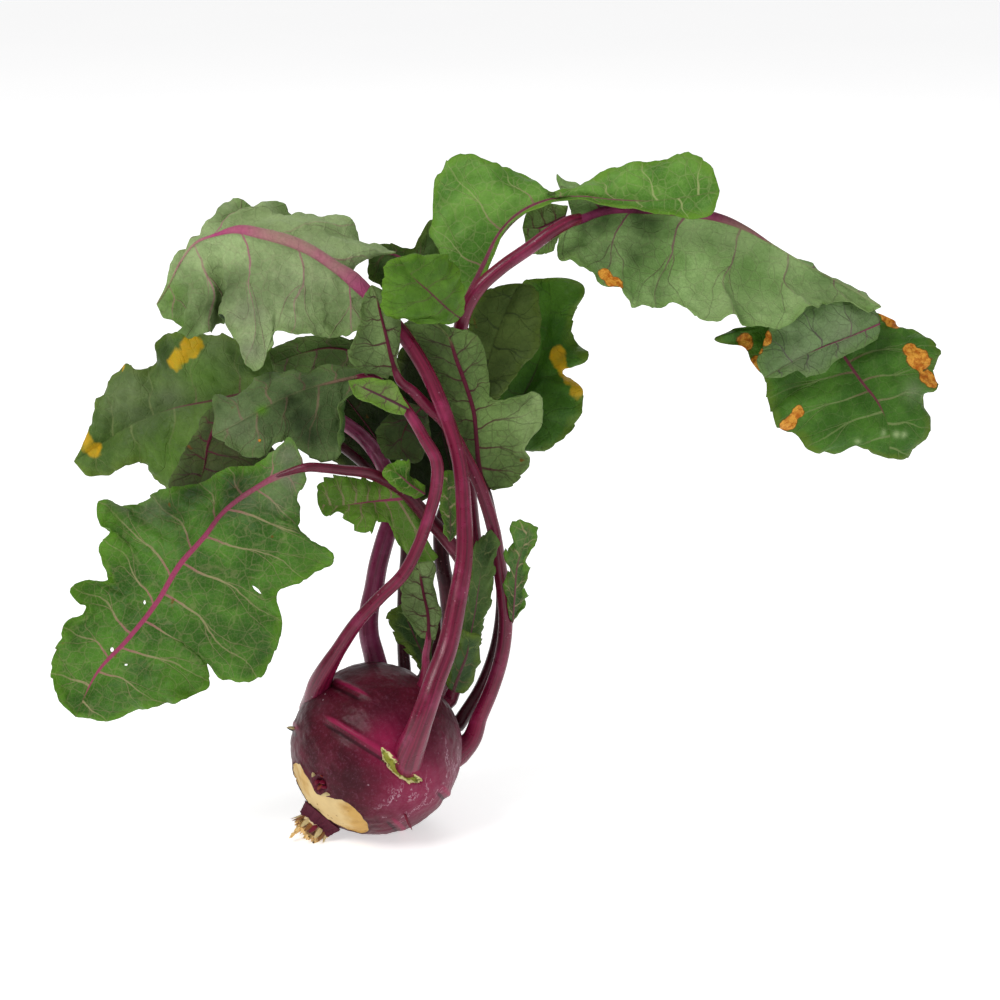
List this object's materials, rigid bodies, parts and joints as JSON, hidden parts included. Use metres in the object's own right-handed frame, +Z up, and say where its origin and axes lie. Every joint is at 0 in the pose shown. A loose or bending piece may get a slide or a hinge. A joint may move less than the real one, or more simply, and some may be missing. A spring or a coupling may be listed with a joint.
{
  "type": "kohlrabi",
  "caption": "Purple kohlrabi lying as picked: a round swollen stem with corky root end, glossy magenta leaf stalks and a spreading crown of ruffled green leaves",
  "frame": {"origin": "middle of the small flat on the swollen stem that the kohlrabi rests on", "axes": "+Z up off the surface it lies on, +X along the widest spread of the leaves, from the left leaves to the long right leaf, -Y towards the viewer"},
  "size_m": [0.3795, 0.1416, 0.2808],
  "materials": {
    "bulb_skin": "satin",
    "root_bark": "matte",
    "stalk_skin": "satin",
    "leaf_blade": "matte"
  },
  "bodies": {
    "root": {"bulb": "bulb_skin", "leaf_inner_back": "leaf_blade", "leaf_inner_dark": "leaf_blade", "leaf_left_back": "leaf_blade", "leaf_left_folded": "leaf_blade", "leaf_left_front": "leaf_blade", "leaf_left_narrow": "leaf_blade", "leaf_left_top": "leaf_blade", "leaf_middle": "leaf_blade", "leaf_middle_small": "leaf_blade", "leaf_right_back": "leaf_blade", "leaf_right_end": "leaf_blade", "leaf_right_fold": "leaf_blade", "leaf_right_grey": "leaf_blade", "leaf_right_long": "leaf_blade", "leaf_top": "leaf_blade", "leaflet_between": "leaf_blade", "leaflet_curl": "leaf_blade", "leaflet_heart": "leaf_blade", "leaflet_inner_grey": "leaf_blade", "leaflet_low_folded": "leaf_blade", "leaflet_low_frill": "leaf_blade", "leaflet_pale": "leaf_blade", "leaflet_ribbon": "leaf_blade", "leaflet_right_stalk": "leaf_blade", "leaflet_toothed": "leaf_blade", "leaflet_top_back": "leaf_blade", "leaflet_top_middle": "leaf_blade", "leaflet_under_top": "leaf_blade", "leaflet_yellow": "leaf_blade", "rib_right_end": "stalk_skin", "root_end": "root_bark", "stalk_left_back": "stalk_skin", "stalk_left_folded": "stalk_skin", "stalk_left_front": "stalk_skin", "stalk_left_narrow": "stalk_skin", "stalk_left_top": "stalk_skin", "stalk_low_folded": "stalk_skin", "stalk_middle": "stalk_skin", "stalk_middle_small": "stalk_skin", "stalk_right_back": "stalk_skin", "stalk_right_long": "stalk_skin", "stalk_top": "stalk_skin"}
  },
  "joints": []
}
